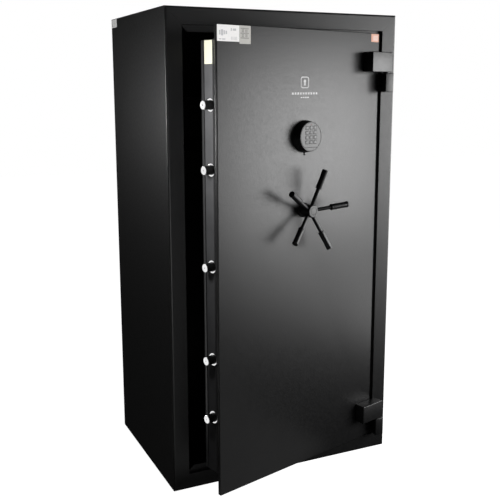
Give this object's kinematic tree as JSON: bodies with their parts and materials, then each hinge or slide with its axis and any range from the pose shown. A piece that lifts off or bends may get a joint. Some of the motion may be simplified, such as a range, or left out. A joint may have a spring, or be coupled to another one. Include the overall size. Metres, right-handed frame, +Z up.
{
  "type": "gun safe",
  "caption": "Tall black steel gun safe with an outside-hinged door, side locking bolts, a spoked turning handle and a round electronic keypad.",
  "frame": {"origin": "centre of the cabinet's underside, on the floor", "axes": "+Z up, -Y out of the cabinet's front face, +X towards the hinge side (right, seen from the front)"},
  "size_m": [0.794, 0.7643, 1.5],
  "materials": {
    "black_powder_coat": "satin, finely textured black powder coat",
    "inner_paint": "satin grey paint",
    "chrome_plate": "bright chrome plate",
    "zinc_plated_steel": "zinc plated, slightly dull",
    "black_plastic": "fine-textured black moulding",
    "key_rubber": "matt dark rubber",
    "grey_felt": "grey felt over a padded core"
  },
  "bodies": {
    "cabinet": {"front_frame_left": "black_powder_coat", "front_frame_right": "black_powder_coat", "front_frame_top": "black_powder_coat", "front_frame_bottom": "black_powder_coat", "side_panel_left": "black_powder_coat", "side_panel_right": "black_powder_coat", "top_panel": "black_powder_coat", "base_panel": "black_powder_coat", "back_panel": "black_powder_coat", "anchor_bolt_left": "zinc_plated_steel", "anchor_bolt_right": "zinc_plated_steel", "shelf": "inner_paint", "barrel_rest": "grey_felt", "floor_mat": "key_rubber", "hinge_base_top": "black_powder_coat", "hinge_base_bottom": "black_powder_coat", "hinge_pin_top": "zinc_plated_steel", "hinge_pin_bottom": "zinc_plated_steel"},
    "door": {"door_plate": "black_powder_coat", "door_box": "inner_paint", "door_back_cover": "inner_paint", "hinge_arm_top": "black_powder_coat", "hinge_arm_bottom": "black_powder_coat", "hinge_side_dog_bar": "zinc_plated_steel", "handle_rose": "black_plastic", "lock_body": "zinc_plated_steel", "keypad_housing": "black_plastic", "bolt_bush_1": "zinc_plated_steel", "bolt_bush_2": "zinc_plated_steel", "bolt_bush_3": "zinc_plated_steel", "bolt_bush_4": "zinc_plated_steel", "bolt_bush_5": "zinc_plated_steel"},
    "bolt_work": {"carriage_bar": "zinc_plated_steel", "locking_bolt_1": "chrome_plate", "locking_bolt_2": "chrome_plate", "locking_bolt_3": "chrome_plate", "locking_bolt_4": "chrome_plate", "locking_bolt_5": "chrome_plate"},
    "handle": {"handle_spindle": "zinc_plated_steel", "handle_hub": "black_plastic", "crank": "zinc_plated_steel", "handle_spoke_1": "black_plastic", "handle_spoke_2": "black_plastic", "handle_spoke_3": "black_plastic", "handle_spoke_4": "black_plastic", "handle_spoke_5": "black_plastic"},
    "lock_bolt": {"lock_bolt": "zinc_plated_steel"},
    "battery_cover": {"battery_cover": "black_plastic"},
    "key_01": {"key_01": "key_rubber"},
    "key_02": {"key_02": "key_rubber"},
    "key_03": {"key_03": "key_rubber"},
    "key_04": {"key_04": "key_rubber"},
    "key_05": {"key_05": "key_rubber"},
    "key_06": {"key_06": "key_rubber"},
    "key_07": {"key_07": "key_rubber"},
    "key_08": {"key_08": "key_rubber"},
    "key_09": {"key_09": "key_rubber"},
    "key_10": {"key_10": "key_rubber"},
    "key_11": {"key_11": "key_rubber"},
    "key_12": {"key_12": "key_rubber"}
  },
  "joints": [
    {"name": "door_swing", "type": "hinge", "parent": "cabinet", "child": "door", "pos_m": [0.351, -0.305, 0.75], "axis": [0, 0, 1], "range_deg": [-15.5, 104.5]},
    {"name": "handle_turn", "type": "hinge", "parent": "door", "child": "handle", "pos_m": [0.0079, -0.37939, 0.897], "axis": [0.2672, -0.9636, 0], "range_deg": [0, 60]},
    {"name": "bolt_slide", "type": "slide", "parent": "door", "child": "bolt_work", "axis": [-0.9636, -0.2672, 0], "range_m": [0, 0.03]},
    {"name": "lock_bolt_slide", "type": "slide", "parent": "door", "child": "lock_bolt", "axis": [0, 0, -1], "range_m": [0, 0.009]},
    {"name": "battery_cover_slide", "type": "slide", "parent": "door", "child": "battery_cover", "axis": [0, 0, -1], "range_m": [0, 0.02]},
    {"name": "key_01_press", "type": "slide", "parent": "door", "child": "key_01", "axis": [-0.2672, 0.9636, 0], "range_m": [0, 0.0012], "stiffness_N_per_m": 300},
    {"name": "key_02_press", "type": "slide", "parent": "door", "child": "key_02", "axis": [-0.2672, 0.9636, 0], "range_m": [0, 0.0012], "stiffness_N_per_m": 300},
    {"name": "key_03_press", "type": "slide", "parent": "door", "child": "key_03", "axis": [-0.2672, 0.9636, 0], "range_m": [0, 0.0012], "stiffness_N_per_m": 300},
    {"name": "key_04_press", "type": "slide", "parent": "door", "child": "key_04", "axis": [-0.2672, 0.9636, 0], "range_m": [0, 0.0012], "stiffness_N_per_m": 300},
    {"name": "key_05_press", "type": "slide", "parent": "door", "child": "key_05", "axis": [-0.2672, 0.9636, 0], "range_m": [0, 0.0012], "stiffness_N_per_m": 300},
    {"name": "key_06_press", "type": "slide", "parent": "door", "child": "key_06", "axis": [-0.2672, 0.9636, 0], "range_m": [0, 0.0012], "stiffness_N_per_m": 300},
    {"name": "key_07_press", "type": "slide", "parent": "door", "child": "key_07", "axis": [-0.2672, 0.9636, 0], "range_m": [0, 0.0012], "stiffness_N_per_m": 300},
    {"name": "key_08_press", "type": "slide", "parent": "door", "child": "key_08", "axis": [-0.2672, 0.9636, 0], "range_m": [0, 0.0012], "stiffness_N_per_m": 300},
    {"name": "key_09_press", "type": "slide", "parent": "door", "child": "key_09", "axis": [-0.2672, 0.9636, 0], "range_m": [0, 0.0012], "stiffness_N_per_m": 300},
    {"name": "key_10_press", "type": "slide", "parent": "door", "child": "key_10", "axis": [-0.2672, 0.9636, 0], "range_m": [0, 0.0012], "stiffness_N_per_m": 300},
    {"name": "key_11_press", "type": "slide", "parent": "door", "child": "key_11", "axis": [-0.2672, 0.9636, 0], "range_m": [0, 0.0012], "stiffness_N_per_m": 300},
    {"name": "key_12_press", "type": "slide", "parent": "door", "child": "key_12", "axis": [-0.2672, 0.9636, 0], "range_m": [0, 0.0012], "stiffness_N_per_m": 300}
  ],
  "couplings": [
    {"joint": "bolt_slide", "follows": "handle_turn", "m_per_rad": 0.028647}
  ]
}
